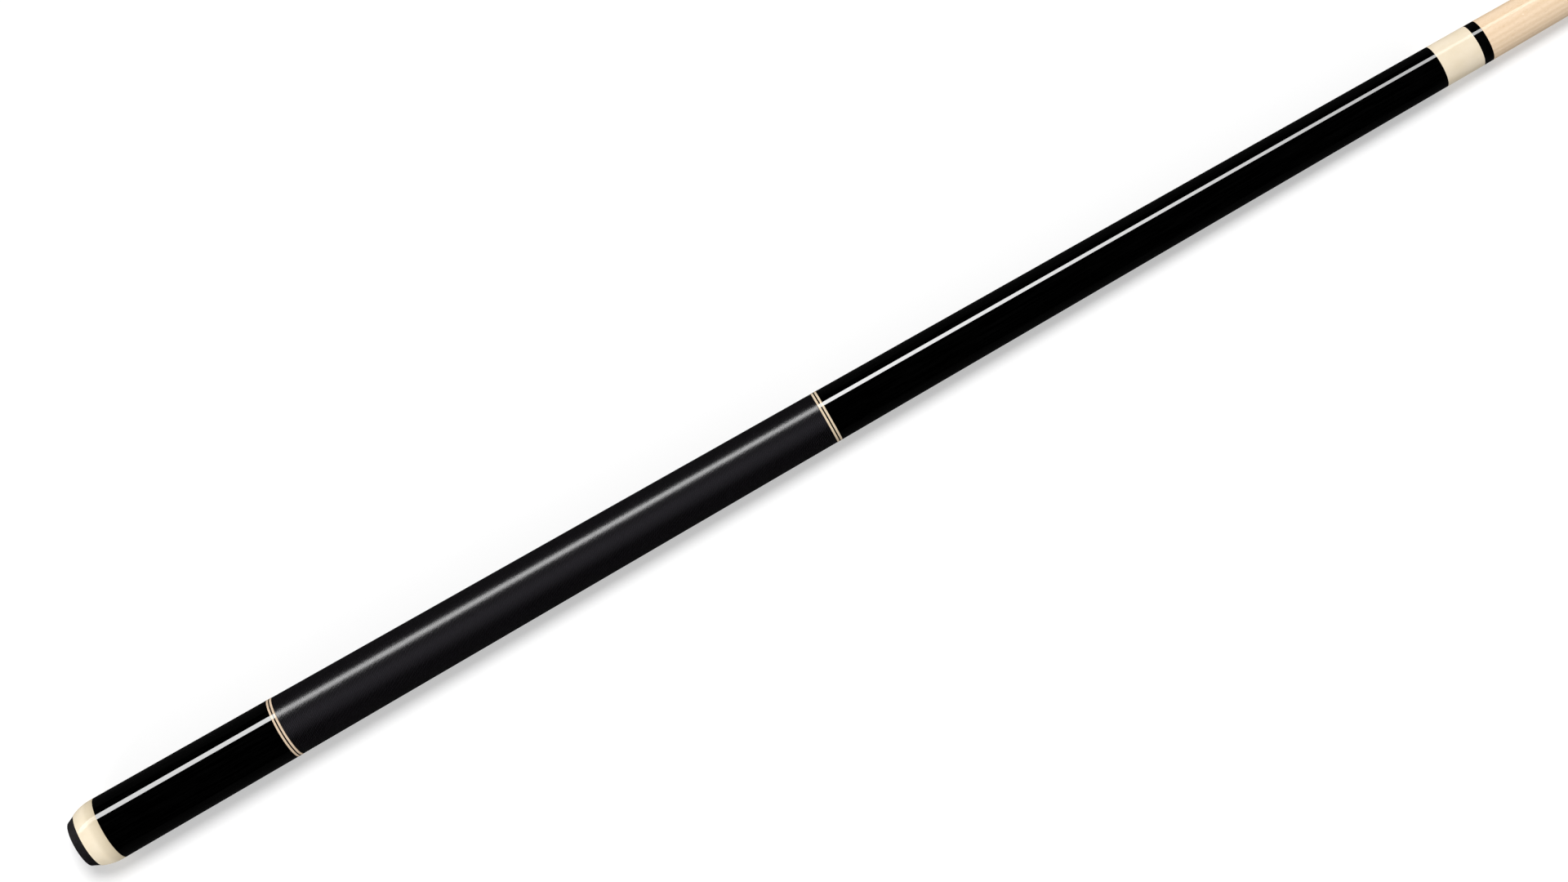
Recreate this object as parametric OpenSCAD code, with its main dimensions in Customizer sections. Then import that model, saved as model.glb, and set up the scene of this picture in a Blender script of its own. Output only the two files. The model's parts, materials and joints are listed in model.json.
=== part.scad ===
// Two-piece pool cue, lying along +X from the foot of its bumper to the crown of its tip.
// The origin is the centre of the bumper's foot. All sizes are in millimetres.

/* [Butt] */
// Length of the butt, from the foot of the bumper to the joint face
butt_len = 762; // [720:1:800]
// Diameter of the butt at the butt cap
butt_d = 32; // [31:0.1:34]
// Length of the butt sleeve
sleeve_len = 94.5; // [80:0.1:120]
// Diameter of the butt at the front of the sleeve
sleeve_front_d = 30.8; // [29:0.1:32]
// Length of the forearm between the front rings and the joint collar
forearm_len = 332.4; // [300:0.1:350]
// Diameter of the forearm at the front rings
forearm_rear_d = 26.3; // [25:0.1:28]
// Diameter of the forearm at the joint collar
forearm_front_d = 21.3; // [21:0.1:23]

/* [Butt cap] */
// Length of the straight band of the butt cap
cap_band_len = 2; // [1:0.1:6]
// Length of the rounded shoulder of the butt cap
cap_shoulder_len = 9.6; // [8:0.1:14]
// Width of the lip that the butt cap leaves around the bumper
cap_lip = 0.2; // [0.1:0.05:0.5]

/* [Bumper] */
// Height that the bumper stands proud of the butt cap
bumper_h = 4.8; // [2.5:0.1:6]
// Diameter of the bumper at the butt cap
bumper_d = 27.6; // [25:0.1:28]
// Diameter of the foot of the bumper
bumper_foot_d = 23.6; // [21:0.1:24.5]
// Rounding of the edge of the foot
bumper_edge = 0.7; // [0.3:0.1:1.5]
// Diameter of the spigot that plugs into the butt cap
spigot_d = 22; // [21.5:0.1:23]
// Length of the spigot
spigot_len = 5; // [4:0.1:8]
// Diameter of the stud's flange inside the rubber
flange_d = 17; // [14:0.1:19]
// Thickness of the stud's flange
flange_t = 1.6; // [1:0.1:2.5]
// Length of thread that the stud has in the tail insert
stud_reach = 14; // [10:0.5:18]

/* [Tail] */
// Diameter of the handle core's tenon inside the sleeve and the cap
tail_tenon_d = 19; // [18:0.1:20.5]
// Diameter of the tail insert
tail_insert_d = 15; // [14:0.1:16]
// Length of the tail insert
tail_insert_len = 72; // [68:0.5:85]
// Diameter of the thread that the bumper stud and the weight bolt share
tail_thread_d = 12; // [11:0.1:12.5]
// Pitch of the tail thread
tail_pitch = 1.75; // [1.5:0.05:2]
// Depth of the tail thread
tail_thread_depth = 1; // [0.6:0.05:1.2]
// Length of the weight bolt
bolt_len = 42; // [20:0.5:45]
// Free space between the bumper stud and the weight bolt
bolt_space = 6; // [4:0.5:8]
// Width of the weight bolt's hexagon socket across its flats
socket_af = 6; // [4:0.5:8]
// Depth of the hexagon socket
socket_depth = 6; // [4:0.5:10]

/* [Rings and wrap] */
// Width of a cream ring
ring_w = 1; // [0.8:0.05:2]
// Width of the black spacer between two cream rings
spacer_w = 0.7; // [0.4:0.05:1]
// Thickness of the pressed linen wrap
wrap_t = 0.8; // [0.6:0.05:1.2]
// Diameter of the handle core's tenon inside the front rings and the forearm
front_tenon_d = 16; // [14:0.1:18]
// Depth of the forearm's socket for that tenon
front_tenon_depth = 14; // [10:0.5:20]
// Diameter of the stud between the handle core and the forearm
forearm_stud_d = 9.5; // [8:0.1:11]
// Length of that stud in each of the two woods
forearm_stud_half = 38; // [30:0.5:45]

/* [Joint] */
// Diameter of the cue at the joint face
joint_d = 21; // [20.5:0.1:22.5]
// Length of the joint collar
joint_collar_len = 20; // [15:0.1:30]
// Diameter of the forearm's tenon inside the joint collar
joint_tenon_d = 15; // [14:0.1:17]
// Diameter of the joint pin's shank and pilot
pin_d = 10; // [9.8:0.05:10.6]
// Length of the joint pin in the forearm
pin_seat_len = 46; // [35:0.5:60]
// Length of the pilot beyond the joint face
pin_pilot_len = 5; // [3:0.1:7]
// Diameter of the joint pin's thread
pin_thread_d = 9.5; // [9:0.05:9.6]
// Pitch of the joint pin's thread
pin_pitch = 3.175; // [2.5:0.005:4]
// Depth of the joint pin's thread
pin_thread_depth = 0.9; // [0.6:0.05:1.2]
// Length of the joint pin's thread
pin_thread_len = 17; // [14:0.1:18]
// Length of the joint pin's nose
pin_nose_len = 3; // [2:0.1:4]
// Number of glue grooves in the joint pin's shank
pin_grooves = 4; // [2:1:5]

/* [Shaft] */
// Length of the shaft, from the joint face to the crown of the tip
shaft_len = 736.6; // [700:0.1:770]
// Length of the shaft collar
shaft_collar_len = 5; // [3:0.1:8]
// Diameter of the shaft at the front of its collar
shaft_rear_d = 20.9; // [20:0.1:22.5]
// Diameter of the shaft's straight stretch and of the ferrule
shaft_d = 12.75; // [12:0.05:13.5]
// Length of the straight stretch behind the ferrule
shaft_straight = 280; // [200:1:350]
// Diameter of the shaft's tenon inside its collar
shaft_tenon_d = 16; // [15.5:0.1:17.5]
// Diameter of the threaded insert in the shaft
insert_d = 13; // [12.5:0.1:13.5]
// Length of the threaded insert
insert_len = 28; // [27:0.5:36]

/* [Tip] */
// Length of the ferrule
ferrule_len = 25.4; // [12:0.1:30]
// Thickness of the ferrule's closed front
ferrule_cap = 3; // [2:0.1:5]
// Diameter of the shaft's tenon inside the ferrule
ferrule_tenon_d = 8; // [6:0.1:9]
// Thickness of the fibre pad
pad_t = 1; // [0.6:0.1:1.5]
// Height of the leather tip
tip_h = 6; // [4:0.1:8]
// Radius of the tip's crown
tip_crown = 10.6; // [9:0.1:14]

/* [Fits] */
// Room for glue around a bonded tenon, insert or stud
glue_gap = 0.05; // [0.02:0.01:0.1]
// Running room around a round fit that turns
run_gap = 0.05; // [0.02:0.01:0.1]
// Room between the flanks of the joint pin and the shaft insert
thread_gap = 0.15; // [0.12:0.01:0.2]
// Room at the bottom of a blind bore
end_gap = 0.3; // [0.2:0.05:0.6]

/* [Hidden] */
$fn = 96;
// Sides of a thread's section, and its slices in each turn
thread_sides = 16;
thread_steps = 12;
// Steps in a rounded edge or shoulder
arc_steps = 12;
// Length by which a cut runs past a face, or one solid runs into the next
over = 1;

black = "#141416";
cream = "#e8d8bc";
maple = "#ecd3b5";
steel = "#b9bcc0";
brass = "#c9a45a";
rubber = "#242326";
linen = "#1b1a1d";
leather = "#7a4f33";
fibre = "#5a2a22";

// Stations along the cue, from the foot of the bumper
cap_len = cap_shoulder_len + cap_band_len;
ring_set = 2 * ring_w + spacer_w;
x_cap = bumper_h;
x_floor = x_cap + spigot_len;
x_sleeve = x_cap + cap_len;
x_rear_rings = x_sleeve + sleeve_len;
x_wrap = x_rear_rings + ring_set;
x_joint = butt_len;
x_collar = x_joint - joint_collar_len;
x_forearm = x_collar - forearm_len;
x_front_rings = x_forearm - ring_set;
x_shaft = x_joint + shaft_collar_len;
x_tip = x_joint + shaft_len;
x_pad = x_tip - tip_h - pad_t;
x_ferrule = x_pad - ferrule_len;
x_straight = x_ferrule - shaft_straight;
x_pin_thread = x_joint + pin_pilot_len;
x_pin_nose = x_pin_thread + pin_thread_len;
x_tenon_end = x_forearm + front_tenon_depth;
x_flange = x_cap + (spigot_len - bumper_h) / 2 - flange_t / 2;
x_bolt = x_floor + stud_reach + bolt_space;

// Outer radii at the stations where the taper changes
butt_stations = [
  [x_sleeve, butt_d / 2],
  [x_rear_rings, sleeve_front_d / 2],
  [x_forearm, forearm_rear_d / 2],
  [x_collar, forearm_front_d / 2],
  [x_joint, joint_d / 2]
];
shaft_stations = [
  [x_joint, joint_d / 2],
  [x_shaft, shaft_rear_d / 2],
  [x_straight, shaft_d / 2],
  [x_tip, shaft_d / 2]
];
function butt_r(x) = lookup(x, butt_stations);
function shaft_r(x) = lookup(x, shaft_stations);

// Points [radius, x] on an arc about [r, x], from angle a to angle b
function arc(r, x, radius, a, b) = [
  for (i = [0 : arc_steps])
    let (t = a + (b - a) * i / arc_steps)
      [r + radius * cos(t), x + radius * sin(t)]
];

// Lays what was turned about the Z axis along +X
module along_x() {
  rotate([0, 90, 0]) children();
}

// Solid of revolution from points [radius, x]
module turned(points) {
  rotate_extrude() polygon(points);
}

// Round rod between two stations
module rod(x0, x1, r0, r1) {
  translate([0, 0, x0]) cylinder(h = x1 - x0, r1 = r0, r2 = r1);
}

// Round bore between two stations, cut past both
module bore(x0, x1, r) {
  rod(x0 - over, x1 + over, r, r);
}

// Blind bore that opens towards the joint
module bore_back(x0, x1, r) {
  rod(x0, x1 + over, r, r);
}

// Blind bore that opens towards the bumper
module bore_fore(x0, x1, r) {
  rod(x0 - over, x1, r, r);
}

// Rounded right-hand thread: one round section that is carried off centre around the axis
module thread(x0, x1, d, depth, pitch) {
  turns = (x1 - x0) / pitch;
  translate([0, 0, x0])
    rotate(360 * x0 / pitch)
      linear_extrude(
        height = x1 - x0, twist = -360 * turns, slices = ceil(turns * thread_steps), $fn = thread_sides
      )
        translate([depth / 2, 0])
          circle(d = d - depth);
}

// Ring on a tenon, flush with the taper of the butt
module trim_ring(x0, width, tenon_d) {
  along_x() difference() {
    rod(x0, x0 + width, butt_r(x0), butt_r(x0 + width));
    bore(x0, x0 + width, tenon_d / 2 + glue_gap);
  }
}

module tip() {
  r = shaft_d / 2;
  color(leather) along_x() turned(concat(
    [[0, x_pad + pad_t], [r, x_pad + pad_t]],
    arc(0, x_tip - tip_crown, tip_crown, acos(r / tip_crown), 90)
  ));
}

module tip_pad() {
  color(fibre) along_x() rod(x_pad, x_pad + pad_t, shaft_d / 2, shaft_d / 2);
}

module ferrule() {
  color(cream) along_x() difference() {
    rod(x_ferrule, x_pad, shaft_d / 2, shaft_d / 2);
    bore_fore(x_ferrule, x_pad - ferrule_cap, ferrule_tenon_d / 2 + glue_gap);
  }
}

module shaft() {
  tenon_front = x_pad - ferrule_cap - end_gap;
  color(maple) along_x() difference() {
    turned([
      [0, x_joint + run_gap],
      [shaft_tenon_d / 2, x_joint + run_gap],
      [shaft_tenon_d / 2, x_shaft],
      [shaft_r(x_shaft), x_shaft],
      [shaft_r(x_straight), x_straight],
      [shaft_r(x_ferrule), x_ferrule],
      [ferrule_tenon_d / 2, x_ferrule],
      [ferrule_tenon_d / 2, tenon_front],
      [0, tenon_front]
    ]);
    bore_fore(x_joint, x_joint + insert_len + end_gap, insert_d / 2 + glue_gap);
  }
}

module shaft_collar() {
  color(black) along_x() difference() {
    rod(x_joint, x_shaft, shaft_r(x_joint), shaft_r(x_shaft));
    bore(x_joint, x_shaft, shaft_tenon_d / 2 + run_gap);
  }
}

module shaft_insert() {
  x_end = x_joint + insert_len;
  color(brass) along_x() difference() {
    rod(x_joint + run_gap, x_end, insert_d / 2, insert_d / 2);
    bore_fore(x_joint, x_pin_thread + end_gap, pin_d / 2 + run_gap);
    thread(x_pin_thread, x_end + over, pin_thread_d + 2 * thread_gap, pin_thread_depth, pin_pitch);
  }
}

module joint_pin() {
  root_r = pin_thread_d / 2 - pin_thread_depth;
  nose_r = root_r - run_gap;
  tail_r = nose_r - pin_nose_len / 2;
  groove_step = pin_seat_len / (pin_grooves + 1);
  color(steel) along_x() {
    difference() {
      rod(x_joint - pin_seat_len, x_pin_thread, pin_d / 2, pin_d / 2);
      for (i = [1 : pin_grooves])
        translate([0, 0, x_joint - i * groove_step])
          rotate_extrude()
            translate([pin_d / 2, 0])
              circle(r = pin_thread_depth / 2);
    }
    thread(x_pin_thread - over, x_pin_nose, pin_thread_d, pin_thread_depth, pin_pitch);
    rod(x_pin_nose - over, x_pin_nose + pin_nose_len, nose_r, tail_r);
  }
}

module joint_collar() {
  color(cream) along_x() difference() {
    rod(x_collar, x_joint, butt_r(x_collar), butt_r(x_joint));
    bore(x_collar, x_joint, joint_tenon_d / 2 + glue_gap);
  }
}

module forearm() {
  stud_end = x_tenon_end + forearm_stud_half + end_gap;
  color(black) along_x() difference() {
    turned([
      [0, x_forearm],
      [butt_r(x_forearm), x_forearm],
      [butt_r(x_collar), x_collar],
      [joint_tenon_d / 2, x_collar],
      [joint_tenon_d / 2, x_joint],
      [0, x_joint]
    ]);
    bore_fore(x_forearm, x_tenon_end + end_gap, front_tenon_d / 2 + glue_gap);
    bore_fore(x_forearm, stud_end, forearm_stud_d / 2 + glue_gap);
    bore_back(x_joint - pin_seat_len - end_gap, x_joint, pin_d / 2 + glue_gap);
  }
}

module front_ring_wrap_side() {
  color(cream) trim_ring(x_front_rings, ring_w, front_tenon_d);
}

module front_ring_spacer() {
  color(black) trim_ring(x_front_rings + ring_w, spacer_w, front_tenon_d);
}

module front_ring_forearm_side() {
  color(cream) trim_ring(x_front_rings + ring_w + spacer_w, ring_w, front_tenon_d);
}

module forearm_stud() {
  r = forearm_stud_d / 2;
  color(steel) along_x()
    rod(x_tenon_end - forearm_stud_half, x_tenon_end + forearm_stud_half, r, r);
}

module handle_core() {
  skin = wrap_t + glue_gap;
  stud_end = x_tenon_end - forearm_stud_half - end_gap;
  insert_end = x_floor + tail_insert_len + end_gap;
  color(maple) along_x() difference() {
    turned([
      [0, x_floor],
      [tail_tenon_d / 2, x_floor],
      [tail_tenon_d / 2, x_wrap],
      [butt_r(x_wrap) - skin, x_wrap],
      [butt_r(x_front_rings) - skin, x_front_rings],
      [front_tenon_d / 2, x_front_rings],
      [front_tenon_d / 2, x_tenon_end],
      [0, x_tenon_end]
    ]);
    bore_fore(x_floor, insert_end, tail_insert_d / 2 + glue_gap);
    bore_back(stud_end, x_tenon_end, forearm_stud_d / 2 + glue_gap);
  }
}

module linen_wrap() {
  rear_r = butt_r(x_wrap);
  front_r = butt_r(x_front_rings);
  color(linen) along_x() turned([
    [rear_r - wrap_t, x_wrap],
    [rear_r, x_wrap],
    [front_r, x_front_rings],
    [front_r - wrap_t, x_front_rings]
  ]);
}

module rear_ring_sleeve_side() {
  color(cream) trim_ring(x_rear_rings, ring_w, tail_tenon_d);
}

module rear_ring_spacer() {
  color(black) trim_ring(x_rear_rings + ring_w, spacer_w, tail_tenon_d);
}

module rear_ring_wrap_side() {
  color(cream) trim_ring(x_rear_rings + ring_w + spacer_w, ring_w, tail_tenon_d);
}

module butt_sleeve() {
  color(black) along_x() difference() {
    rod(x_sleeve, x_rear_rings, butt_r(x_sleeve), butt_r(x_rear_rings));
    bore(x_sleeve, x_rear_rings, tail_tenon_d / 2 + glue_gap);
  }
}

module butt_cap() {
  drop = (butt_d - bumper_d) / 2 - cap_lip;
  shoulder = (cap_shoulder_len * cap_shoulder_len + drop * drop) / (2 * drop);
  sweep = asin(cap_shoulder_len / shoulder);
  x_band = x_sleeve - cap_band_len;
  color(cream) along_x() difference() {
    turned(concat(
      [[0, x_sleeve], [0, x_cap]],
      arc(butt_d / 2 - shoulder, x_band, shoulder, -sweep, 0),
      [[butt_d / 2, x_sleeve]]
    ));
    bore_fore(x_cap, x_floor, spigot_d / 2 + run_gap);
    bore(x_floor, x_sleeve, tail_tenon_d / 2 + glue_gap);
  }
}

module tail_insert() {
  x_end = x_floor + tail_insert_len;
  color(brass) along_x() difference() {
    rod(x_floor, x_end, tail_insert_d / 2, tail_insert_d / 2);
    bore(x_floor, x_end, tail_thread_d / 2 + run_gap);
  }
}

module weight_bolt() {
  color(steel) along_x() difference() {
    rod(x_bolt, x_bolt + bolt_len, tail_thread_d / 2, tail_thread_d / 2);
    translate([0, 0, x_bolt - over])
      cylinder(h = socket_depth + over, d = socket_af / cos(30), $fn = 6);
  }
}

module bumper() {
  foot_r = bumper_foot_d / 2;
  rim_r = bumper_d / 2;
  lean = atan2(rim_r - foot_r, bumper_h);
  color(rubber) along_x() difference() {
    turned(concat(
      [[0, 0]],
      arc(foot_r - bumper_edge, bumper_edge, bumper_edge, -90, -lean),
      [
        [rim_r, x_cap],
        [spigot_d / 2, x_cap],
        [spigot_d / 2, x_floor - run_gap],
        [0, x_floor - run_gap]
      ]
    ));
    rod(x_flange - run_gap, x_flange + flange_t + run_gap, flange_d / 2 + run_gap, flange_d / 2 + run_gap);
    bore_back(x_flange, x_floor, tail_thread_d / 2 + run_gap);
  }
}

module bumper_stud() {
  shank_r = tail_thread_d / 2;
  x_end = x_floor + stud_reach;
  color(steel) along_x() {
    rod(x_flange, x_flange + flange_t, flange_d / 2, flange_d / 2);
    rod(x_flange, x_floor, shank_r, shank_r);
    thread(x_floor - over, x_end, tail_thread_d - run_gap, tail_thread_depth, tail_pitch);
  }
}

tip();
tip_pad();
ferrule();
shaft();
shaft_collar();
shaft_insert();
joint_pin();
joint_collar();
forearm();
front_ring_forearm_side();
front_ring_spacer();
front_ring_wrap_side();
forearm_stud();
handle_core();
linen_wrap();
rear_ring_wrap_side();
rear_ring_spacer();
rear_ring_sleeve_side();
butt_sleeve();
butt_cap();
tail_insert();
weight_bolt();
bumper();
bumper_stud();
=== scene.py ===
import json
import math

import bmesh
import bpy
from mathutils import Matrix, Vector


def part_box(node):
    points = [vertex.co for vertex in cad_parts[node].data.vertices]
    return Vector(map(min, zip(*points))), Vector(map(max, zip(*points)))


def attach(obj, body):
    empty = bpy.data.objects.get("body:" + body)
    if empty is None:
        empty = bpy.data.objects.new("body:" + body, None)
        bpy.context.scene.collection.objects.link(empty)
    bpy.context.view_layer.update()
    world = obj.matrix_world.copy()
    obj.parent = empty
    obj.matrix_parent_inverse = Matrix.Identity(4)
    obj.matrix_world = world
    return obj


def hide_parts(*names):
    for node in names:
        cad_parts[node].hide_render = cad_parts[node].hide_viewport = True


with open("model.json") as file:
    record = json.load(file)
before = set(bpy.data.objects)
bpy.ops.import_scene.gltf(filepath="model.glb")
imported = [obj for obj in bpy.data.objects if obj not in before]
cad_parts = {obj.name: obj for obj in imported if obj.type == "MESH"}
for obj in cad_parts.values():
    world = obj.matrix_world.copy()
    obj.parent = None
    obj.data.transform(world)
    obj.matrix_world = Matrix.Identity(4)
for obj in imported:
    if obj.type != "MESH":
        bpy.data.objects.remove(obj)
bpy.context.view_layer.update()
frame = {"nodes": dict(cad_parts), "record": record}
print("frame loaded")

mm = 0.001
fullTurn = 2 * math.pi
white = (1.0, 1.0, 1.0, 1.0)


# where a node starts and ends along the cue, and its largest radius
def reach(node):
    low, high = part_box(node)
    return low[0], high[0], high[2]


def rearOf(node):
    return reach(node)[0]


def frontOf(node):
    return reach(node)[1]


def radiusOf(node):
    return reach(node)[2]


class Wire:
    # one socket of a node tree; sums and products of wires add Math nodes
    def __init__(self, tree, socket=None):
        self.tree = tree
        self.socket = socket

    def join(self, target, value):
        if isinstance(value, Wire):
            self.tree.links.new(value.socket, target)
        else:
            target.default_value = value

    # adds any kind of node: its settings first, then the values or links of its sockets
    def node(self, kind, settings=None, links=None, out=0):
        made = self.tree.nodes.new(kind)
        for key, value in (settings or {}).items():
            if key == "stops":
                self.setStops(made.color_ramp, value)
            else:
                setattr(made, key, value)
        for key, value in (links or {}).items():
            self.join(made.inputs[key], value)
        return Wire(self.tree, made.outputs[out])

    # another output of the node that this wire comes from
    def output(self, out):
        return Wire(self.tree, self.socket.node.outputs[out])

    def setStops(self, colorRamp, stops):
        while len(colorRamp.elements) < len(stops):
            colorRamp.elements.new(1.0)
        for element, (position, level) in zip(colorRamp.elements, stops):
            element.position = position
            element.color = (level, level, level, 1.0)

    def maths(self, operation, first, second=0.0):
        return self.node("ShaderNodeMath", {"operation": operation}, {0: first, 1: second})

    def __add__(self, other):
        return self.maths("ADD", self, other)

    def __radd__(self, other):
        return self.maths("ADD", other, self)

    def __sub__(self, other):
        return self.maths("SUBTRACT", self, other)

    def __rsub__(self, other):
        return self.maths("SUBTRACT", other, self)

    def __mul__(self, other):
        return self.maths("MULTIPLY", self, other)

    def __rmul__(self, other):
        return self.maths("MULTIPLY", other, self)

    def __truediv__(self, other):
        return self.maths("DIVIDE", self, other)

    def __rtruediv__(self, other):
        return self.maths("DIVIDE", other, self)


# colours are given as seen on a screen, 0 to 255, and turned into light by the sRGB curve
def seen(red, green, blue):
    def light(level):
        level /= 255
        if level <= 0.04045:
            return level / 12.92
        return ((level + 0.055) / 1.055) ** 2.4

    return (light(red), light(green), light(blue), 1.0)


# a material from a look and a recipe, which returns the sockets that vary over the surface
def newFinish(name, look, recipe=None):
    material = bpy.data.materials.new(name)
    material.use_nodes = True
    wire = Wire(material.node_tree)
    shader = material.node_tree.nodes["Principled BSDF"]
    varying = recipe(wire, look) if recipe else {}
    for key, value in {**look["fixed"], **varying}.items():
        wire.join(shader.inputs[key], value)
    return material


def place(wire):
    return wire.node("ShaderNodeTexCoord", out="Object")


def axes(wire):
    x = wire.node("ShaderNodeSeparateXYZ", {}, {"Vector": place(wire)})
    return x, x.output("Y"), x.output("Z")


# noise that is drawn out along the cue: stretch is its length over its width
def noise(wire, size, stretch=1.0, detail=3.0, roughness=0.5):
    spot = wire.node(
        "ShaderNodeVectorMath",
        {"operation": "MULTIPLY"},
        {0: place(wire), 1: (1 / (size * stretch), 1 / size, 1 / size)},
    )
    return wire.node(
        "ShaderNodeTexNoise",
        {},
        {"Vector": spot, "Scale": 1.0, "Detail": detail, "Roughness": roughness},
        "Fac",
    )


def ramp(value, stops):
    return value.node("ShaderNodeValToRGB", {"stops": stops}, {"Fac": value})


# from 0 at the first limit to 1 at the second
def fade(value, limits):
    start, end = limits
    return ramp(value, [(start, 0.0), (end, 1.0)])


# a number that goes from the first level to the second as the mask goes from 0 to 1
def vary(mask, levels):
    low, high = levels
    return low + mask * (high - low)


# a share of the first value with the rest from the second
def mixed(first, second, share):
    return first * share + second * (1 - share)


# a wave between 0 and 1
def wave(angle):
    return angle.maths("SINE", angle) * 0.5 + 0.5


# sockets 6 and 7 and output 2 of a Mix node are its colours
def blend(factor, first, second):
    return factor.node("ShaderNodeMix", {"data_type": "RGBA"}, {0: factor, 6: first, 7: second}, 2)


def bump(height, depth, strength):
    return height.node("ShaderNodeBump", {}, {"Height": height, "Distance": depth, "Strength": strength})


# a clear coat that carries the shine over a body with little or none of its own
def coat(weight, roughness, bodyShine=0.0):
    return {
        "Specular IOR Level": bodyShine,
        "Coat Weight": weight,
        "Coat Roughness": roughness,
        "Coat IOR": 1.5,
    }


lacquerLook = {
    "ground": seen(0, 0, 0),
    "grain": seen(3, 3, 3),
    "grainNoise": {"size": 0.7 * mm, "stretch": 30.0, "detail": 4.0},
    "grainFade": (0.42, 0.70),
    "peelNoise": {"size": 6 * mm, "stretch": 2.0, "detail": 1.0},
    "roughness": (0.45, 0.60),
    "fixed": coat(1.0, 0.025),
}


def blackLacquer(wire, look):
    grain = fade(noise(wire, **look["grainNoise"]), look["grainFade"])
    orangePeel = noise(wire, **look["peelNoise"])
    return {
        "Base Color": blend(grain, look["ground"], look["grain"]),
        "Roughness": vary(orangePeel, look["roughness"]),
    }


blackResinLook = {
    "ground": seen(2, 2, 2),
    "cloud": seen(6, 6, 6),
    "cloudNoise": {"size": 3 * mm},
    "cloudFade": (0.35, 0.75),
    "roughness": (0.40, 0.50),
    "fixed": coat(1.0, 0.035),
}


def blackResin(wire, look):
    cloud = fade(noise(wire, **look["cloudNoise"]), look["cloudFade"])
    return {
        "Base Color": blend(cloud, look["ground"], look["cloud"]),
        "Roughness": vary(cloud, look["roughness"]),
    }


creamLook = {
    "body": seen(222, 209, 187),
    "cloud": seen(217, 203, 178),
    "speck": seen(205, 188, 159),
    "cloudNoise": {"size": 5 * mm, "stretch": 1.6},
    "cloudFade": (0.32, 0.72),
    "speckNoise": {"size": 0.45 * mm, "detail": 2.0},
    "speckFade": (0.62, 0.78),
    "speckShare": 0.35,
    "roughness": (0.22, 0.30),
    "fixed": coat(0.28, 0.03),
}

ferruleLook = {
    **creamLook,
    "body": seen(240, 234, 220),
    "cloud": seen(232, 224, 207),
    "speck": seen(222, 212, 192),
    "fixed": coat(0.6, 0.06, bodyShine=0.4),
}


def creamResin(wire, look):
    cloud = fade(noise(wire, **look["cloudNoise"]), look["cloudFade"])
    speck = fade(noise(wire, **look["speckNoise"]), look["speckFade"])
    body = blend(cloud, look["body"], look["cloud"])
    return {
        "Base Color": blend(speck * look["speckShare"], body, look["speck"]),
        "Roughness": vary(cloud, look["roughness"]),
    }


# the cap's cream is painted lighter than the collar's, as painted light, and turns to a painted shade
# near the seam
capPaintedLightLook = {
    **creamLook,
    "body": seen(227, 215, 192),
    "cloud": seen(223, 209, 183),
    "seam": seen(189, 176, 151),
    "seamReach": 7 * mm,
    "seamStops": [(0.0, 0.0), (0.17, 0.05), (0.44, 0.48), (0.73, 0.72), (1.0, 1.0)],
}


# painted shade: the cap's colour darkens towards its seam with the sleeve
def capResinPaintedShade(wire, look):
    sockets = creamResin(wire, look)
    start = frontOf("butt_cap") - look["seamReach"]
    x, _, _ = axes(wire)
    # painted shade over the last stretch before the seam
    shade = ramp((x - start) / look["seamReach"], look["seamStops"])
    sockets["Base Color"] = blend(shade, sockets["Base Color"], look["seam"])
    return sockets


rearRingLook = {
    "body": seen(211, 192, 169),
    "grain": seen(176, 146, 114),
    "grainNoise": {"size": 0.32 * mm, "stretch": 0.7},
    "grainFade": (0.40, 0.68),
    "grainShare": 0.75,
    "roughness": (0.25, 0.35),
    "fixed": coat(0.5, 0.03),
}

frontRingLook = {
    **rearRingLook,
    "body": seen(215, 200, 176),
    "grain": seen(174, 148, 114),
}


def ringCream(wire, look):
    grain = fade(noise(wire, **look["grainNoise"]), look["grainFade"])
    return {
        "Base Color": blend(grain * look["grainShare"], look["body"], look["grain"]),
        "Roughness": vary(grain, look["roughness"]),
    }


mapleLook = {
    "pale": seen(228, 205, 178),
    "dark": seen(214, 187, 154),
    "fleck": seen(196, 166, 131),
    "yearSlant": (0.8, 0.6),  # across the year rings, along Y and Z
    "yearWidth": 2.6 * mm,
    "yearShare": 0.2,
    "driftNoise": {"size": 9 * mm, "stretch": 12.0, "detail": 2.0},
    "driftSwing": 7.0,
    "fibreNoise": {"size": 0.20 * mm, "stretch": 9.0, "detail": 4.0, "roughness": 0.65},
    "toneFade": (0.34, 0.74),
    "fleckNoise": {"size": 0.26 * mm, "stretch": 4.5, "detail": 2.0, "roughness": 0.4},
    "fleckFade": (0.60, 0.72),
    "fleckShare": 0.45,
    "roughness": (0.40, 0.54),
    "bump": (0.012 * mm, 0.6),
    "fixed": coat(0.38, 0.08),
}


def mapleWood(wire, look):
    _, y, z = axes(wire)
    slantY, slantZ = look["yearSlant"]
    years = (y * slantY + z * slantZ) * (fullTurn / look["yearWidth"])
    drift = noise(wire, **look["driftNoise"])
    season = wave(years + drift * look["driftSwing"])
    fibre = noise(wire, **look["fibreNoise"])
    tone = fade(mixed(season, fibre, look["yearShare"]), look["toneFade"])
    wood = blend(tone, look["pale"], look["dark"])
    fleck = fade(noise(wire, **look["fleckNoise"]), look["fleckFade"])
    return {
        "Base Color": blend(fleck * look["fleckShare"], wood, look["fleck"]),
        "Roughness": vary(fibre, look["roughness"]),
        "Normal": bump(fibre, *look["bump"]),
    }


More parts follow.
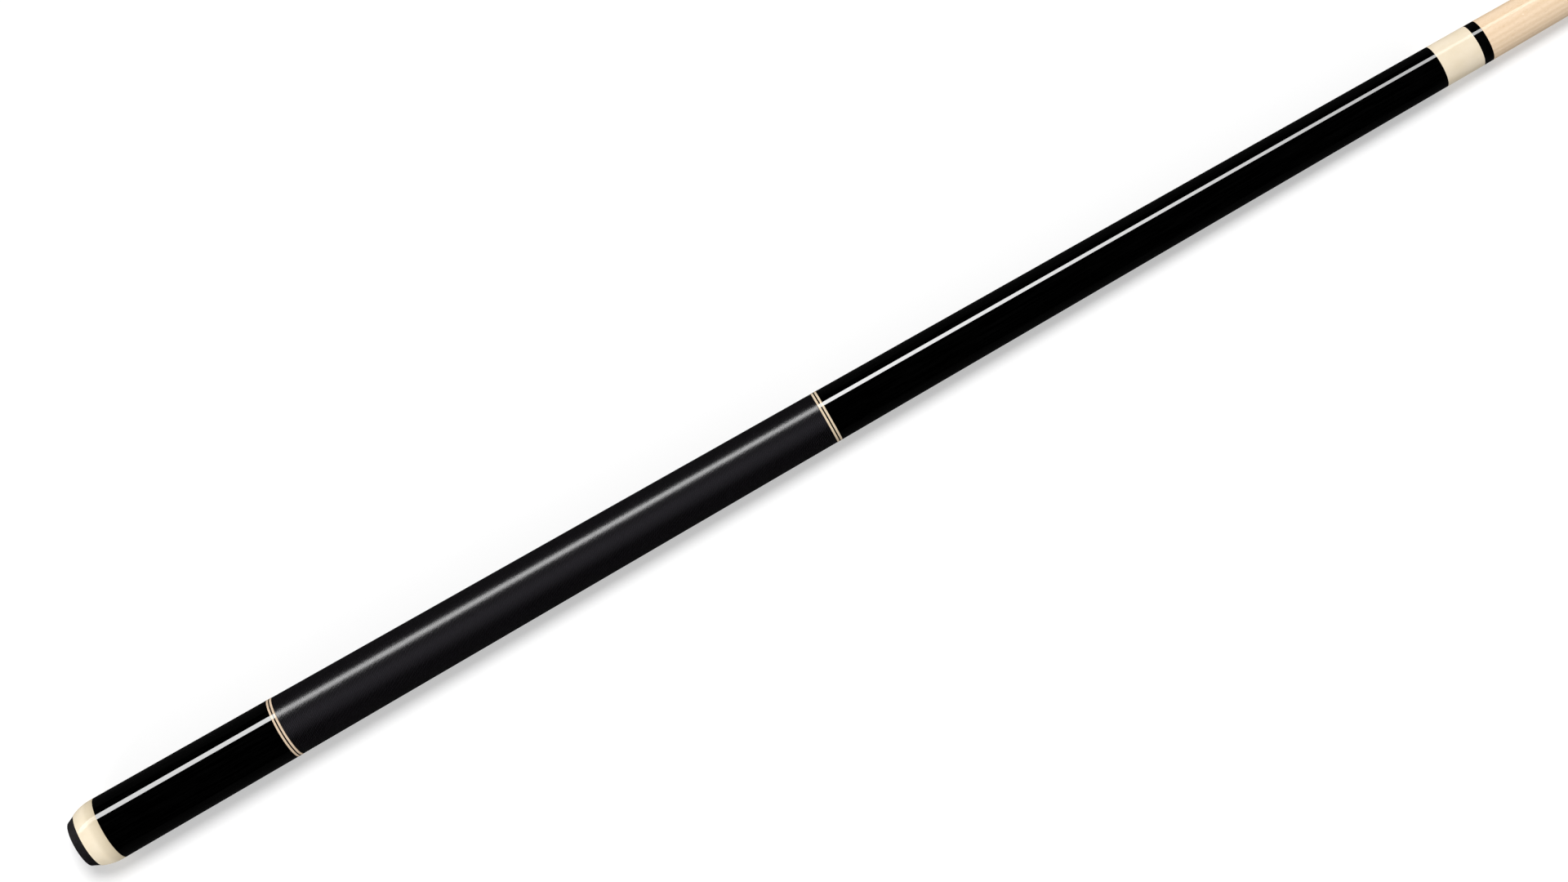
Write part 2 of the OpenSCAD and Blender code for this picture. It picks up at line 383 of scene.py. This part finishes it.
rubberLook = {
    "body": seen(18, 16, 18),
    "bloom": seen(28, 25, 28),
    "bloomNoise": {"size": 2.5 * mm, "detail": 4.0},
    "bloomFade": (0.40, 0.80),
    "poreNoise": {"size": 0.18 * mm, "detail": 2.0},
    "roughness": (0.60, 0.85),
    "bump": (0.04 * mm, 0.7),
    "fixed": {"Specular IOR Level": 0.12},
}


def bumperRubber(wire, look):
    bloom = fade(noise(wire, **look["bloomNoise"]), look["bloomFade"])
    pores = noise(wire, **look["poreNoise"])
    return {
        "Base Color": blend(bloom, look["body"], look["bloom"]),
        "Roughness": vary(pores, look["roughness"]),
        "Normal": bump(pores, *look["bump"]),
    }


steelLook = {
    "bright": seen(206, 208, 211),
    "dull": seen(172, 175, 180),
    "marksNoise": {"size": 0.9 * mm, "stretch": 0.05},
    "roughness": (0.20, 0.38),
    "bump": (0.006 * mm, 0.5),
    "fixed": {"Metallic": 0.82},
}

brassLook = {
    **steelLook,
    "bright": seen(226, 190, 112),
    "dull": seen(196, 154, 82),
    "roughness": (0.24, 0.42),
}


def turnedMetal(wire, look):
    marks = noise(wire, **look["marksNoise"])
    return {
        "Base Color": blend(marks, look["bright"], look["dull"]),
        "Roughness": vary(marks, look["roughness"]),
        "Normal": bump(marks, *look["bump"]),
    }


leatherLook = {
    "body": seen(136, 95, 66),
    "layer": seen(118, 79, 53),
    "scuff": seen(163, 122, 90),
    "layerHeight": 0.85 * mm,
    "layerFade": (0.55, 0.95),
    "rippleNoise": {"size": 3.0 * mm, "detail": 2.0},
    "rippleSwing": 1.2,
    "napNoise": {"size": 0.25 * mm, "detail": 5.0, "roughness": 0.65},
    "scuffFade": (0.50, 0.80),
    "scuffShare": 0.6,
    "roughness": (0.62, 0.87),
    "bump": (0.08 * mm, 0.8),
    "fixed": {"Specular IOR Level": 0.3},
}


def tipLeather(wire, look):
    x, _, _ = axes(wire)
    ripple = noise(wire, **look["rippleNoise"])
    layers = wave(x * (fullTurn / look["layerHeight"]) + ripple * look["rippleSwing"])
    hide = blend(fade(layers, look["layerFade"]), look["body"], look["layer"])
    nap = noise(wire, **look["napNoise"])
    scuff = fade(nap, look["scuffFade"])
    return {
        "Base Color": blend(scuff * look["scuffShare"], hide, look["scuff"]),
        "Roughness": vary(nap, look["roughness"]),
        "Normal": bump(nap, *look["bump"]),
    }


fibreLook = {
    "body": seen(52, 22, 20),
    "strand": seen(78, 34, 28),
    "strandNoise": {"size": 0.3 * mm, "stretch": 0.3, "detail": 4.0},
    "roughness": (0.35, 0.55),
    "fixed": {"Specular IOR Level": 0.4},
}


def padFibre(wire, look):
    strand = noise(wire, **look["strandNoise"])
    return {
        "Base Color": blend(strand, look["body"], look["strand"]),
        "Roughness": vary(strand, look["roughness"]),
    }


# the wrap: one thread wound around the handle, pressed and waxed
wrapLook = {
    "pitch": 0.90 * mm,
    "relief": 0.13 * mm,
    "thickness": 0.8 * mm,
    "crestPower": 2.2,  # more makes a fuller ridge
    "sides": 64,
    "steps": 4,
    "spareTurns": 3,  # past the front end, so that the grid closes there
    "thread": seen(1, 1, 1),
    "ply": seen(36, 34, 38),
    # painted shade: a dark colour in the gaps between turns of the thread
    "gap": seen(2, 2, 2),
    "pliesPerTurn": 57.3,
    "plySlant": 9.0,  # radians of twist over the width of the thread
    "plyShare": 0.62,
    "plyFade": (0.45, 0.85),
    "wobbleNoise": {"size": 1.1 * mm, "detail": 2.0},
    "wobbleSwing": 7.0,
    "fuzzNoise": {"size": 0.16 * mm, "detail": 4.0, "roughness": 0.6},
    "gapStops": [(0.0, 1.0), (0.45, 0.0)],
    "roughness": (0.19, 0.24),
    "bumpShare": 0.65,
    "bump": (0.05 * mm, 0.5),
    "fixed": {"Specular IOR Level": 0.32},
}


def waxedLinen(wire, look):
    x, y, z = axes(wire)
    around = wire.maths("ARCTAN2", y, z) * (-1 / fullTurn)
    turn = (x - rearOf("linen_wrap")) / look["pitch"] - around
    across = wire.maths("FRACT", turn)  # from one edge of the thread to the other
    along = turn - across + around  # turns of thread from its start
    twist = along * (fullTurn * look["pliesPerTurn"]) + across * look["plySlant"]
    wobble = noise(wire, **look["wobbleNoise"])
    ply = wave(twist + wobble * look["wobbleSwing"])
    fuzz = noise(wire, **look["fuzzNoise"])
    strand = fade(mixed(ply, fuzz, look["plyShare"]), look["plyFade"])
    crown = wire.maths("SINE", across * math.pi)
    tone = blend(strand * crown, look["thread"], look["ply"])
    return {
        # painted shade darkens the gaps between turns, where the crown falls to 0
        "Base Color": blend(ramp(crown, look["gapStops"]), tone, look["gap"]),
        "Roughness": vary(fuzz - strand, look["roughness"]),
        "Normal": bump(mixed(ply, fuzz, look["bumpShare"]), *look["bump"]),
    }


recipes = {
    "blackLacquer": (blackLacquer, lacquerLook),
    "blackResin": (blackResin, blackResinLook),
    "creamResin": (creamResin, creamLook),
    "capResinPaintedShade": (capResinPaintedShade, capPaintedLightLook),
    "ferruleResin": (creamResin, ferruleLook),
    "rearRingCream": (ringCream, rearRingLook),
    "frontRingCream": (ringCream, frontRingLook),
    "mapleWood": (mapleWood, mapleLook),
    "bumperRubber": (bumperRubber, rubberLook),
    "turnedSteel": (turnedMetal, steelLook),
    "turnedBrass": (turnedMetal, brassLook),
    "tipLeather": (tipLeather, leatherLook),
    "padFibre": (padFibre, fibreLook),
    "waxedLinen": (waxedLinen, wrapLook),
}
finishes = {name: newFinish(name, look, recipe) for name, (recipe, look) in recipes.items()}
print("finishes mixed:", len(finishes))


def addObject(name, data):
    made = bpy.data.objects.new(name, data)
    bpy.context.scene.collection.objects.link(made)
    return made


def addPiece(name, form, body, node, finish):
    mesh = bpy.data.meshes.new(name)
    form.to_mesh(mesh)
    form.free()
    mesh.materials.append(finishes[finish])
    piece = addObject(name, mesh)
    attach(piece, body)
    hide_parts(node)


# points around the axis, or around a centre that is carried off it; a radius of 0 gives one point
def ring(form, x, r, sides, offset=0.0, turn=0.0):
    points = []
    for k in range(sides if r > 0 else 1):
        angle = fullTurn * k / sides
        y = r * math.sin(angle) - offset * math.sin(turn)
        z = r * math.cos(angle) + offset * math.cos(turn)
        points.append(form.verts.new((x, y, z)))
    return points


# a band of faces between two rings, either of which may be a single point
def bridge(form, first, second, smooth=True):
    sides = max(len(first), len(second))
    for k in range(sides):
        after = (k + 1) % sides
        corners = [first[k % len(first)], first[after % len(first)]]
        corners += [second[after % len(second)], second[k % len(second)]]
        form.faces.new(list(dict.fromkeys(corners))).smooth = smooth


# a skin over rings that follow each other, with sharp edges where it bends more than a limit
def skin(form, rings, sharpBend):
    for first, second in zip(rings, rings[1:]):
        bridge(form, first, second)
    bmesh.ops.recalc_face_normals(form, faces=form.faces)
    for edge in form.edges:
        edge.smooth = edge.calc_face_angle(0.0) < sharpBend
    return form


turnedLook = {"sides": 142, "sharpBend": math.radians(24)}
seamEase = 0.03 * mm  # takes the sharpness off the edges of turned pieces
bondGap = 0.05 * mm  # room for glue between bonded pieces


# a body of revolution from points (x, radius): a closed loop, or a chain from axis to axis
def turned(outline):
    form = bmesh.new()
    rings = [ring(form, x, r, turnedLook["sides"]) for x, r in outline]
    if outline[0][1] > 0:
        rings.append(rings[0])
    return skin(form, rings, turnedLook["sharpBend"])


# outline of a tube with its two outer edges eased
def tube(start, end, startRadius, endRadius, bore):
    return [
        (start, bore),
        (start, startRadius - seamEase),
        (start + seamEase, startRadius),
        (end - seamEase, endRadius),
        (end, endRadius - seamEase),
        (end, bore),
    ]


# points on an arc: at 0 it faces away from the axis, and larger angles lean to the tip
def arc(centreX, centreR, size, first, last, steps):
    turns = [first + (last - first) * k / steps for k in range(steps + 1)]
    return [(centreX + size * math.sin(t), centreR + size * math.cos(t)) for t in turns]


# radii of the tenons that carry the turned pieces of the butt
buttLook = {"tailTenon": 9.5 * mm, "frontTenon": 8.0 * mm, "jointTenon": 7.5 * mm}

capRear, capFront, capRadius = reach("butt_cap")
wrapRear, wrapFront, wrapRadius = reach("linen_wrap")
collarRear, jointFace, collarRadius = reach("joint_collar")


def buildSleeve():
    bore = buttLook["tailTenon"] + bondGap
    outline = tube(capFront, frontOf("butt_sleeve"), capRadius, radiusOf("rear_ring_sleeve_side"), bore)
    addPiece("sleeve", turned(outline), "butt", "butt_sleeve", "blackLacquer")


def buildForearm():
    rear = rearOf("forearm")
    rearRadius = radiusOf("forearm")
    tenon = buttLook["jointTenon"]
    tenonBore = buttLook["frontTenon"] + bondGap
    tenonEnd = frontOf("handle_core") + seamEase
    studBore = radiusOf("forearm_stud") + bondGap
    studEnd = frontOf("forearm_stud") + seamEase
    pinBore = radiusOf("joint_pin") + bondGap
    pinEnd = rearOf("joint_pin") - seamEase
    outline = [
        (studEnd, 0.0),
        (studEnd, studBore),
        (tenonEnd, studBore),
        (tenonEnd, tenonBore),
        (rear, tenonBore),
        (rear, rearRadius - seamEase),
        (rear + seamEase, rearRadius),
        (collarRear - seamEase, collarRadius),
        (collarRear, collarRadius - seamEase),
        (collarRear, tenon),
        (jointFace, tenon),
        (jointFace, pinBore),
        (pinEnd, pinBore),
        (pinEnd, 0.0),
    ]
    addPiece("forearmTurning", turned(outline), "butt", "forearm", "blackLacquer")


def buildJointCollar():
    bore = buttLook["jointTenon"] + bondGap
    outline = tube(collarRear, jointFace, collarRadius, radiusOf("shaft_collar"), bore)
    addPiece("jointCollar", turned(outline), "butt", "joint_collar", "creamResin")


# three rings to a set, counted from the bumper, and the piece that the last of them meets
ringLook = {
    "rear": {
        "kinds": ["sleeve_side", "spacer", "wrap_side"],
        "meets": "linen_wrap",
        "tenon": buttLook["tailTenon"],
    },
    "front": {
        "kinds": ["wrap_side", "spacer", "forearm_side"],
        "meets": "forearm",
        "tenon": buttLook["frontTenon"],
    },
}


def buildRings():
    for where, look in ringLook.items():
        nodes = [f"{where}_ring_{kind}" for kind in look["kinds"]]
        ahead = nodes[1:] + [look["meets"]]
        for k, node in enumerate(nodes):
            start, end, startRadius = reach(node)
            outline = tube(start, end, startRadius, radiusOf(ahead[k]), look["tenon"] + bondGap)
            finish = "blackResin" if look["kinds"][k] == "spacer" else f"{where}RingCream"
            addPiece(f"{where}Ring{k + 1}", turned(outline), "butt", node, finish)


capLook = {
    "band": 2.0 * mm,
    "lip": 0.2 * mm,
    "steps": 24,
    "recess": 5.0 * mm,
    "recessRadius": 11.05 * mm,
}


# the shoulder is one arc from the rim of the bumper to the straight band at the seam
def buildCap():
    drop = capRadius - radiusOf("bumper") - capLook["lip"]
    rise = capFront - capRear - capLook["band"]
    bend = (rise ** 2 + drop ** 2) / (2 * drop)
    sweep = math.asin(rise / bend)
    floor = capRear + capLook["recess"]
    recess = capLook["recessRadius"]
    bore = buttLook["tailTenon"] + bondGap
    outline = [(floor, bore), (floor, recess), (capRear, recess)]
    outline += arc(capRear + rise, capRadius - bend, bend, -sweep, 0.0, capLook["steps"])
    outline += [(capFront - seamEase, capRadius), (capFront, capRadius - seamEase), (capFront, bore)]
    addPiece("capTurning", turned(outline), "butt", "butt_cap", "capResinPaintedShade")


bumperLook = {
    "footRadius": 11.8 * mm,
    "edge": 0.7 * mm,
    "steps": 10,
    "rimEase": 0.1 * mm,
    "rimDrop": 0.05 * mm,
    "studBore": 6.05 * mm,
    "flangeRoom": 1.7 * mm,
}


def buildBumper():
    look = bumperLook
    foot, front, rim = reach("bumper")
    edge = look["edge"]
    footRadius = look["footRadius"]
    lean = math.atan2(rim - footRadius, capRear)
    shoulder = rim - look["rimDrop"]
    spigot = capLook["recessRadius"] - bondGap
    bore = look["studBore"]
    flangeRear = rearOf("bumper_stud")
    flangeFront = flangeRear + look["flangeRoom"]
    pocket = radiusOf("bumper_stud") + bondGap
    outline = [(foot, 0.0)]
    outline += arc(foot + edge, footRadius - edge, edge, -math.pi / 2, -lean, look["steps"])
    outline += [
        (capRear - look["rimEase"], shoulder),
        (capRear, shoulder - look["rimEase"]),
        (capRear, spigot),
        (front, spigot),
        (front, bore),
        (flangeFront, bore),
        (flangeFront, pocket),
        (flangeRear - bondGap, pocket),
        (flangeRear - bondGap, 0.0),
    ]
    addPiece("bumperMoulding", turned(outline), "bumper", "bumper", "bumperRubber")


# the thread of the wrap as one helical grid: after a full turn the grid meets its own next turn
def buildWrap():
    look = wrapLook
    sides, steps, pitch = look["sides"], look["steps"], look["pitch"]
    length = wrapFront - wrapRear
    slope = (radiusOf("front_ring_wrap_side") - wrapRadius) / length
    rows = int(length / pitch + look["spareTurns"]) * steps
    crest = [1.0 - abs(math.cos(math.pi * k / steps)) ** look["crestPower"] for k in range(steps)]
    form = bmesh.new()

    def vertex(x, side, drop):
        r = wrapRadius + slope * (x - wrapRear) - drop
        turn = fullTurn * side / sides
        return form.verts.new((x, -r * math.sin(turn), r * math.cos(turn)))

    def rim(x, drop):
        return [vertex(x, side, drop) for side in range(sides)]

    # what lies past an end of the wrap is gathered on the rim there
    rear = rim(wrapRear, look["relief"])
    front = rim(wrapFront, look["relief"])
    grid = {}
    for row in range(-steps, rows):
        for side in range(sides):
            x = wrapRear + pitch * (row / steps + side / sides)
            if x <= wrapRear:
                grid[row, side] = rear[side]
            elif x >= wrapFront:
                grid[row, side] = front[side]
            else:
                grid[row, side] = vertex(x, side, look["relief"] * (1.0 - crest[row % steps]))

    def corner(row, side):
        return grid[row, side] if side < sides else grid[row + steps, 0]

    for row in range(-steps, rows - steps - 1):
        for side in range(sides):
            corners = [corner(row, side), corner(row + 1, side)]
            corners += [corner(row + 1, side + 1), corner(row, side + 1)]
            unique = list(dict.fromkeys(corners))
            if len(unique) > 2:
                form.faces.new(unique).smooth = True
    innerRear = rim(wrapRear, look["thickness"])
    innerFront = rim(wrapFront, look["thickness"])
    bridge(form, rear, innerRear, smooth=False)
    bridge(form, innerRear, innerFront)
    bridge(form, innerFront, front, smooth=False)
    bmesh.ops.recalc_face_normals(form, faces=form.faces)
    addPiece("woundThread", form, "butt", "linen_wrap", "waxedLinen")


shaftLook = {
    "insertBore": 6.55 * mm,
    "insertDepth": 28.3 * mm,
    "rearTenon": 8.0 * mm,
    "rearSeam": 0.02 * mm,
    "tipTenon": 4.0 * mm,
    "ferruleCap": 3.0 * mm,
}

shaftRear, tipTenonFront, shaftRadius = reach("shaft")
ferruleRear, ferruleFront, tipRadius = reach("ferrule")


def buildShaft():
    look = shaftLook
    barrel = next(mount for mount in frame["record"]["mounts"] if mount["name"] == "shaft_barrel")
    barrelRear = barrel["pos_m"][0] - barrel["dims"]["length_mm"] * mm / 2
    boreEnd = shaftRear + look["insertDepth"]
    shoulder = frontOf("shaft_collar") + look["rearSeam"]
    outline = [
        (boreEnd, 0.0),
        (boreEnd, look["insertBore"]),
        (shaftRear, look["insertBore"]),
        (shaftRear, look["rearTenon"]),
        (shoulder, look["rearTenon"]),
        (shoulder, shaftRadius - seamEase),
        (shoulder + seamEase, shaftRadius),
        (barrelRear, tipRadius),
        (ferruleRear, tipRadius),
        (ferruleRear, look["tipTenon"]),
        (tipTenonFront, look["tipTenon"]),
        (tipTenonFront, 0.0),
    ]
    addPiece("shaftTurning", turned(outline), "shaft", "shaft", "mapleWood")


def buildShaftCollar():
    rear, front, rearRadius = reach("shaft_collar")
    outline = tube(rear, front, rearRadius, shaftRadius, shaftLook["rearTenon"] + bondGap)
    addPiece("shaftCollarTurning", turned(outline), "collar", "shaft_collar", "blackResin")


def buildFerrule():
    bore = shaftLook["tipTenon"] + bondGap
    boreEnd = ferruleFront - shaftLook["ferruleCap"]
    outline = [(boreEnd, 0.0), (boreEnd, bore)]
    outline += tube(ferruleRear, ferruleFront, tipRadius, tipRadius, bore)[:-1]
    outline += [(ferruleFront, 0.0)]
    addPiece("ferruleTurning", turned(outline), "shaft", "ferrule", "ferruleResin")


def buildPad():
    rear, front, padRadius = reach("tip_pad")
    outline = tube(rear, front, padRadius, padRadius, 0.0)
    addPiece("padDisc", turned(outline), "shaft", "tip_pad", "padFibre")


tipLook = {"crown": 10.6 * mm, "steps": 20, "waist": 0.06 * mm}


# the leather draws in a little between the pad and the edge of its dome
def buildTip():
    rear, front, rimRadius = reach("tip")
    crown = tipLook["crown"]
    edge = math.acos(rimRadius / crown)
    dome = arc(front - crown, 0.0, crown, edge, math.pi / 2, tipLook["steps"])
    middle = (rear + dome[0][0]) / 2
    outline = [(rear, 0.0), (rear, rimRadius), (middle, rimRadius - tipLook["waist"])]
    outline += dome[:-1]
    outline += [(front, 0.0)]
    addPiece("tipDome", turned(outline), "shaft", "tip", "tipLeather")


threadLook = {"sides": 40, "sharpBend": math.radians(40)}


def plainRings(form, points):
    return [ring(form, x, r, threadLook["sides"]) for x, r in points]


# a rounded right-hand thread: its round section is carried off centre around the axis
def threadRings(form, look, start, end):
    middle = look["threadRadius"] - look["depth"] / 2
    count = int((end - start) / look["pitch"] * look["stepsPerTurn"])
    fadeSteps = look["stepsPerTurn"] / 2  # the ridge runs out over half a turn
    rings = []
    for step in range(count + 1):
        x = start + (end - start) * step / count
        turn = fullTurn * x / look["pitch"]
        runOut = min(1.0, step / fadeSteps, (count - step) / fadeSteps)
        rings.append(ring(form, x, middle, threadLook["sides"], look["depth"] / 2 * runOut, turn))
    return rings


# a rod with a thread between two plain stretches
def threaded(look, before, start, end, after):
    form = bmesh.new()
    rings = plainRings(form, before)
    rings += threadRings(form, look, start, end)
    rings += plainRings(form, after)
    return skin(form, rings, threadLook["sharpBend"])


pinLook = {
    "stepsPerTurn": 36,
    "pitch": 3.175 * mm,
    "threadRadius": 4.75 * mm,
    "depth": 0.9 * mm,
    "pilot": 5.0 * mm,
    "pilotEase": 0.4 * mm,
    "threadGap": 0.2 * mm,
    "grooves": 4,
    "nose": 3.0 * mm,
    "noseTaper": 1.2 * mm,
    "noseDrop": 0.4 * mm,
    "ease": 0.3 * mm,
}


# the shank has glue grooves, and a plain pilot leads from it to the thread
def buildPin():
    look = pinLook
    rear, front, shank = reach("joint_pin")
    ease = look["ease"]
    points = [(rear, 0.0), (rear, shank - ease), (rear + ease, shank)]
    grooveStep = (jointFace - rear) / (look["grooves"] + 1)
    groove = look["depth"] / 2
    for k in range(look["grooves"], 0, -1):
        middle = jointFace - k * grooveStep
        points += [(middle - groove, shank), (middle, shank - groove), (middle + groove, shank)]
    pilotEnd = jointFace + look["pilot"]
    points += [(pilotEnd - look["pilotEase"], shank), (pilotEnd, shank - look["pilotEase"])]
    threadEnd = front - look["nose"]
    root = look["threadRadius"] - look["depth"]
    point = root - look["noseTaper"]
    nose = [
        (threadEnd + ease, root),
        (front - ease, point),
        (front, point - look["noseDrop"]),
        (front, 0.0),
    ]
    form = threaded(look, points, pilotEnd + look["threadGap"], threadEnd, nose)
    addPiece("pinThreaded", form, "butt", "joint_pin", "turnedSteel")


studLook = {
    "stepsPerTurn": 30,
    "pitch": 1.75 * mm,
    "threadRadius": 5.975 * mm,
    "depth": 1.0 * mm,
    "shank": 6.0 * mm,
    "threadGap": 0.3 * mm,
    "flange": 1.6 * mm,
    "flangeEase": 0.2 * mm,
    "nose": 0.6 * mm,
    "noseTaper": 0.4 * mm,
}


def buildStud():
    look = studLook
    rear, front, flange = reach("bumper_stud")
    threadStart = rearOf("tail_insert")
    ease = look["flangeEase"]
    flangeFront = rear + look["flange"]
    points = [
        (rear, 0.0),
        (rear, flange - ease),
        (rear + ease, flange),
        (flangeFront - ease, flange),
        (flangeFront, flange - ease),
        (flangeFront, look["shank"]),
        (threadStart - look["threadGap"], look["shank"]),
    ]
    root = look["threadRadius"] - look["depth"]
    nose = [(front, root - look["noseTaper"]), (front, 0.0)]
    form = threaded(look, points, threadStart, front - look["nose"], nose)
    addPiece("studThreaded", form, "stud", "bumper_stud", "turnedSteel")


buildSleeve()
buildForearm()
buildJointCollar()
buildRings()
buildCap()
buildBumper()
buildWrap()
buildShaft()
buildShaftCollar()
buildFerrule()
buildPad()
buildTip()
buildPin()
buildStud()
print("pieces turned")

# solids that keep their own shape get a finish in place
keptFinishes = {
    "shaft_insert": "turnedBrass",
    "tail_insert": "turnedBrass",
    "weight_bolt": "turnedSteel",
    "forearm_stud": "turnedSteel",
    "handle_core": "mapleWood",
}
for node, finish in keptFinishes.items():
    solid = frame["nodes"][node]
    solid.data.materials.clear()
    solid.data.materials.append(finishes[finish])
print("kept solids finished")


# the cue lies on the floor with its butt cap and its tip
floorLook = {
    "size": 30.0,
    "clear": 0.05 * mm,
    "fixed": {
        "Base Color": seen(192, 192, 192),
        "Roughness": 0.9,
        "Specular IOR Level": 0.0,
        "Emission Color": white,
        "Emission Strength": 0.37,
    },
}


def layFloor():
    near = Vector((capFront, 0.0, -capRadius))
    far = Vector((rearOf("tip"), 0.0, -radiusOf("tip")))
    slope = math.atan2(far.z - near.z, far.x - near.x)
    drop = Vector((0.0, 0.0, floorLook["clear"]))
    half = floorLook["size"] / 2
    corners = [(-half, -half, 0.0), (half, -half, 0.0), (half, half, 0.0), (-half, half, 0.0)]
    mesh = bpy.data.meshes.new("floor")
    mesh.from_pydata(corners, [], [(0, 1, 2, 3)])
    mesh.materials.append(newFinish("paleFloor", floorLook))
    floor = addObject("floor", mesh)
    floor.matrix_world = Matrix.Translation(near - drop) @ Matrix.Rotation(-slope, 4, "Y")
    floor.visible_glossy = False


# one camera straight above the middle of the butt, turned so that the cue rises to the right
cameraLook = {
    "lens": 70.0,
    "sensor": 36.0,
    "height": 1.447,
    "over": 0.385,
    "rise": math.radians(29.82),
}


def setCamera():
    look = cameraLook
    data = bpy.data.cameras.new("camera")
    data.lens = look["lens"]
    data.sensor_width = look["sensor"]
    camera = addObject("camera", data)
    camera.location = (look["over"], 0.0, look["height"])
    camera.rotation_euler = (0.0, 0.0, -look["rise"])
    bpy.context.scene.camera = camera
    bpy.context.scene.view_settings.view_transform = "Standard"


def addLamp(name, kind, power):
    data = bpy.data.lights.new(name, kind)
    data.energy = power
    return addObject(name, data)


def addArea(name, look):
    lamp = addLamp(name, "AREA", look["power"])
    lamp.data.shape = "RECTANGLE"
    lamp.data.size, lamp.data.size_y = look["size"]
    lamp.visible_camera = False
    return lamp


# hangs a lamp along the cue, at an angle from straight above, facing the axis
def hang(lamp, look):
    angle = look["angle"]
    distance = look["distance"]
    lamp.location = (look["over"], distance * math.sin(angle), distance * math.cos(angle))
    lamp.rotation_euler = (-angle, 0.0, 0.0)


# makes a lamp brighter in some places than in others: levels by place along X or Y
def fadeLamp(lamp, fades):
    lamp.data.use_nodes = True
    tree = lamp.data.node_tree
    wire = Wire(tree)
    spot = wire.node("ShaderNodeNewGeometry", out="Position")
    strength = 1.0
    for axis, levels in fades.items():
        start = levels[0][0]
        span = levels[-1][0] - start
        along = (wire.node("ShaderNodeSeparateXYZ", {}, {"Vector": spot}, axis) - start) / span
        strength = strength * ramp(along, [((where - start) / span, level) for where, level in levels])
    wire.join(tree.nodes["Emission"].inputs["Strength"], strength)


# the long lamp that draws the line of light on the lacquer
stripLook = {
    "over": 0.55,
    "angle": math.radians(54.8),
    "distance": 1.2,
    "size": (4.2, 0.35),
    "power": 96.7,
    "fade": {"X": [(-0.3, 0.74), (0.43, 1.0), (0.65, 0.9), (1.02, 0.57)]},
}


def hangStrip():
    strip = addArea("stripLight", stripLook)
    hang(strip, stripLook)
    fadeLamp(strip, stripLook["fade"])
    strip.visible_diffuse = False


# a broad panel that gives the wrap alone its sheen
panelLook = {
    "over": 0.55,
    "angle": math.radians(-9),
    "distance": 1.6,
    "size": (4.0, 4.0),
    "power": 54.0,
    "tint": (0.91, 0.86, 1.0),
    "fade": {
        "X": [(-0.8, 0.08), (-0.28, 0.4), (-0.15, 1.0), (0.4, 1.0), (0.53, 0.4), (1.1, 0.08)],
        "Y": [(-1.75, 0.0), (-0.9, 0.55), (-0.3, 1.0), (0.1, 1.0), (0.5, 0.6), (1.3, 0.0)],
    },
}


def hangPanel():
    panel = addArea("wrapPanel", panelLook)
    hang(panel, panelLook)
    fadeLamp(panel, panelLook["fade"])
    panel.data.color = panelLook["tint"]
    panel.visible_diffuse = False
    receivers = bpy.data.collections.new("wrapOnly")
    receivers.objects.link(bpy.data.objects["woundThread"])
    panel.light_linking.receiver_collection = receivers


# a soft sun that casts the shadow beside the cue
keyLook = {
    "angle": math.radians(20),
    "lean": math.radians(17),
    "spread": math.radians(20),
    "power": 3.2,
}


def setKey():
    key = addLamp("keyLight", "SUN", keyLook["power"])
    key.data.angle = keyLook["spread"]
    key.rotation_euler = (-keyLook["angle"], keyLook["lean"], 0.0)
    key.visible_glossy = False


# a square lamp past the end of the butt, facing the foot of the bumper
fillLook = {"place": (-1.5, -1.1, 0.75), "size": (0.9, 0.9), "power": 16.0}


def setFill():
    fill = addArea("endFill", fillLook)
    fill.location = fillLook["place"]
    fill.rotation_euler = (-fill.location).to_track_quat("-Z", "Y").to_euler()
    fill.visible_glossy = False


# white to the camera, a dim dome on the surfaces, and a faint glow from below in reflections
worldLook = {"dome": 0.31, "underGlow": 0.02}


def setWorld():
    world = bpy.data.worlds.new("studio")
    bpy.context.scene.world = world
    world.use_nodes = True
    wire = Wire(world.node_tree)
    camera = wire.node("ShaderNodeLightPath", out="Is Camera Ray")
    diffuse = camera.output("Is Diffuse Ray")
    glossy = camera.output("Is Glossy Ray")
    sky = wire.node("ShaderNodeTexCoord", out="Generated")
    height = wire.node("ShaderNodeSeparateXYZ", {}, {"Vector": sky}, "Z")
    below = wire.maths("LESS_THAN", height, 0.0)
    level = camera + diffuse * worldLook["dome"] + glossy * below * worldLook["underGlow"]
    background = world.node_tree.nodes["Background"]
    wire.join(background.inputs["Color"], white)
    wire.join(background.inputs["Strength"], level)


layFloor()
setCamera()
hangStrip()
hangPanel()
setKey()
setFill()
setWorld()
print("stage set")
